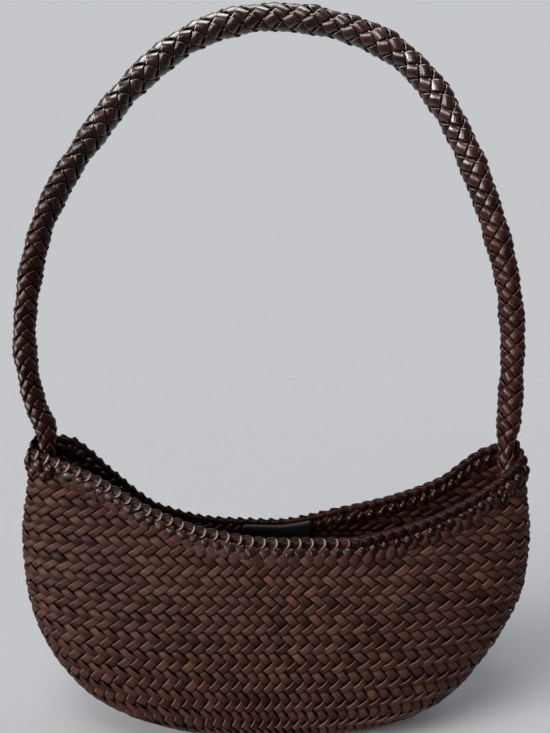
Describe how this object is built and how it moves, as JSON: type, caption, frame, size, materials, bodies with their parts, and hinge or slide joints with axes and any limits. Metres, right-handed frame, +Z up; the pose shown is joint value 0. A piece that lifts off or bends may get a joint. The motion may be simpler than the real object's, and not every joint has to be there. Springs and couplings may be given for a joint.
{
  "type": "woven leather shoulder bag",
  "caption": "Boat-shaped shoulder bag woven on the bias from flat brown leather strips, with a plaited rim round its scooped open mouth and a long round braided strap.",
  "frame": {"origin": "centre of the flattened base, on the surface that the bag stands on", "axes": "+Z up through the mouth and the strap's arch, +X along the bag's length to the viewer's right, -Y out of the front"},
  "size_m": [0.3613, 0.092, 0.4993],
  "materials": {
    "body_leather": "flat dark brown strips woven two over and two under, each strip a slightly different brown, half gloss",
    "rim_leather": "dark red-brown strips wrapped tightly over the edge, glossy on their bends",
    "strap_leather": "dark brown strips in a round braid, waxed to a half gloss",
    "label_leather": "plain black leather with no lettering"
  },
  "bodies": {
    "root": {"woven_body": "body_leather", "mouth_rim": "rim_leather", "corner_lacing_left": "rim_leather", "corner_lacing_right": "rim_leather", "strap": "strap_leather", "inner_label": "label_leather"}
  },
  "joints": []
}
